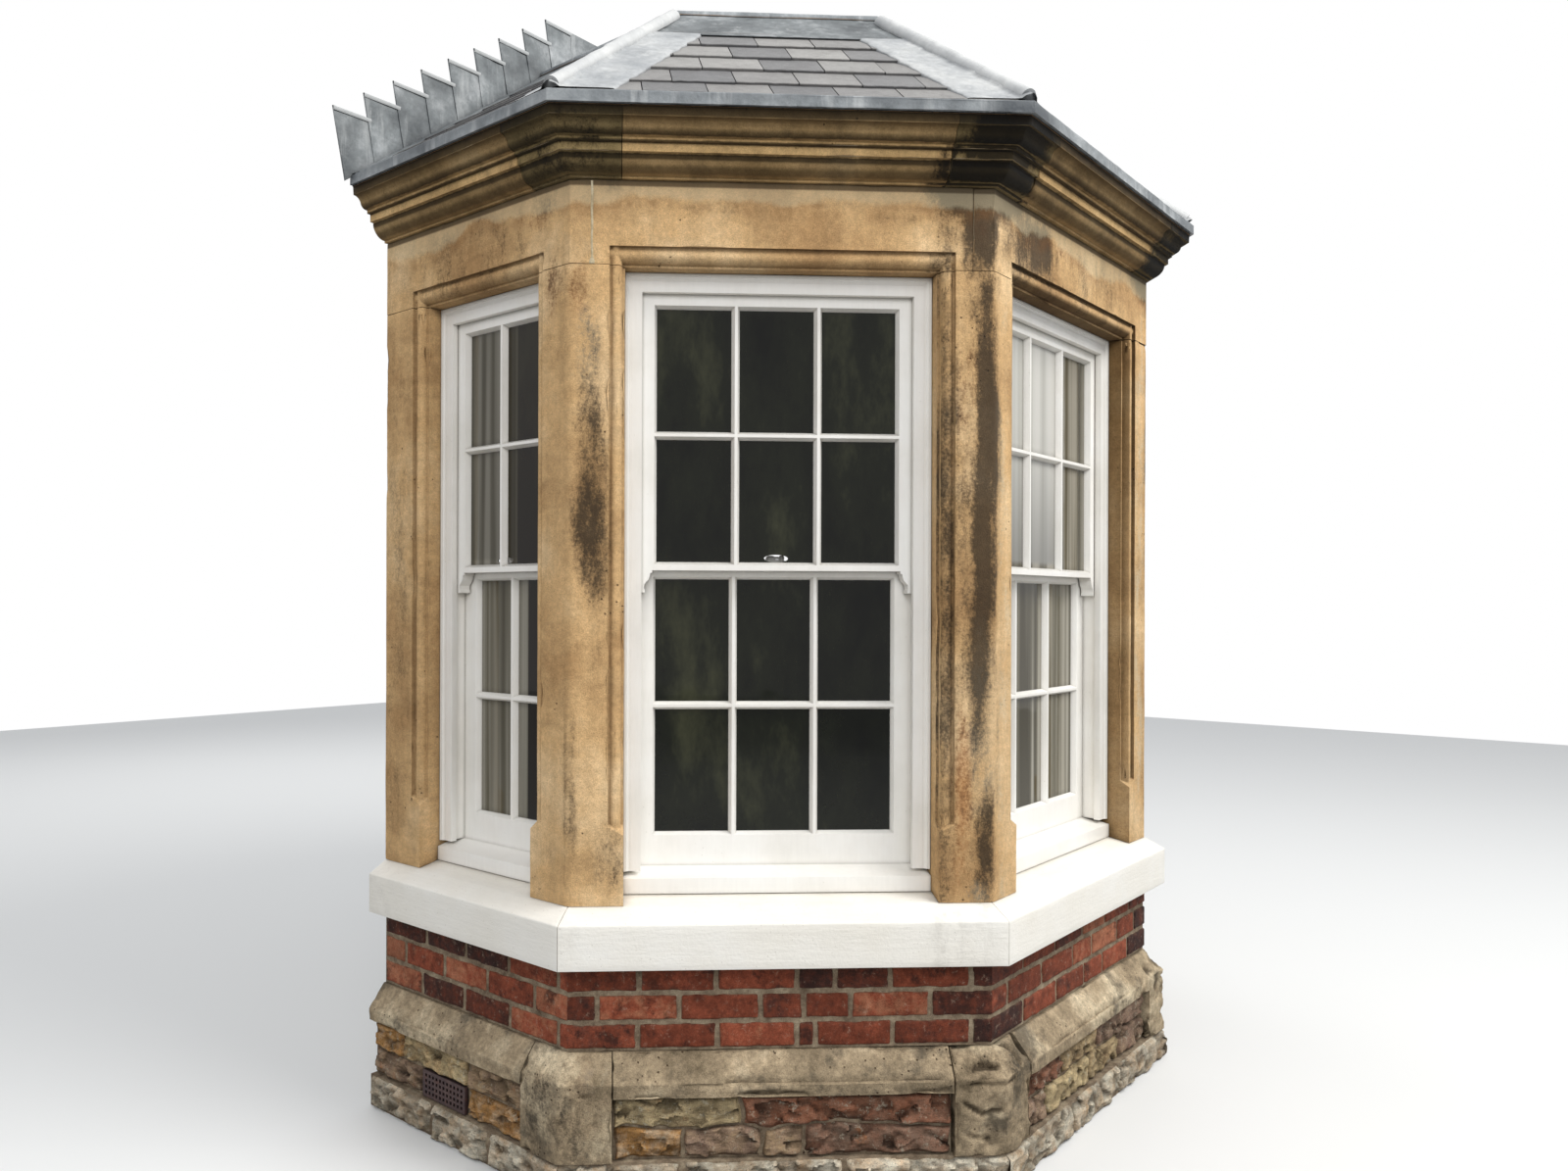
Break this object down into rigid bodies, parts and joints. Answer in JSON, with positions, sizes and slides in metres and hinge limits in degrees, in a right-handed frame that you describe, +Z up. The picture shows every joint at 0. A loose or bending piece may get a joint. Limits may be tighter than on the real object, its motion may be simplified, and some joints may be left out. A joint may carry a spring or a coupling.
{
  "type": "bay window",
  "caption": "Half-octagon sandstone bay window with sliding sashes, brick dado, rubble base and hipped slate roof with a lead flat.",
  "frame": {"origin": "bottom centre of the whole part at ground level, midway in width and depth", "axes": "+Z up, +X along the house wall to the right as seen from outside, -Y out of the wall; the wall face is the plane Y = 0.9684 m"},
  "size_m": [3.4818, 1.9368, 3.971],
  "materials": {
    "rubble": "rough",
    "cast_iron": "matte",
    "plinth_stone": "weathered",
    "brick": "matte",
    "painted_stone": "painted",
    "sandstone": "weathered",
    "cornice_stone": "weathered",
    "white_paint": "gloss paint",
    "window_glass": "clear",
    "fastener_paint": "gloss",
    "slate": "matte",
    "lead": "weathered lead",
    "plaster": "matte"
  },
  "bodies": {
    "root": {"rubble_wall_left_return": "rubble", "rubble_wall_left_cant": "rubble", "rubble_wall_front": "rubble", "rubble_wall_right_cant": "rubble", "rubble_wall_right_return": "rubble", "air_bricks": "cast_iron", "plinth_lengths": "plinth_stone", "plinth_corner_stones": "plinth_stone", "brick_dado_left_return": "brick", "brick_dado_left_cant": "brick", "brick_dado_front": "brick", "brick_dado_right_cant": "brick", "brick_dado_right_return": "brick", "sill_left_return": "painted_stone", "sill_left_cant": "painted_stone", "sill_front": "painted_stone", "sill_right_cant": "painted_stone", "sill_right_return": "painted_stone", "pier_outer_left": "sandstone", "pier_front_left": "sandstone", "pier_front_right": "sandstone", "pier_outer_right": "sandstone", "wall_pier_left": "sandstone", "wall_pier_right": "sandstone", "lintel_left_return": "sandstone", "lintel_left_cant": "sandstone", "lintel_front": "sandstone", "lintel_right_cant": "sandstone", "lintel_right_return": "sandstone", "cornice_lengths": "cornice_stone", "cornice_corner_blocks": "cornice_stone", "box_frame_left_return": "white_paint", "box_frame_left_cant": "white_paint", "box_frame_front": "white_paint", "box_frame_right_cant": "white_paint", "box_frame_right_return": "white_paint", "upper_sashes": "white_paint", "lower_sashes": "white_paint", "glass_panes": "window_glass", "sash_fasteners": "fastener_paint", "slate_slope_left_return": "slate", "slate_slope_left_cant": "slate", "slate_slope_front": "slate", "slate_slope_right_cant": "slate", "slate_slope_right_return": "slate", "lead_eaves_drip": "lead", "lead_apron": "lead", "lead_flat_roof": "lead", "lead_hips": "lead", "stepped_flashings": "lead", "ceiling": "plaster"}
  },
  "joints": []
}
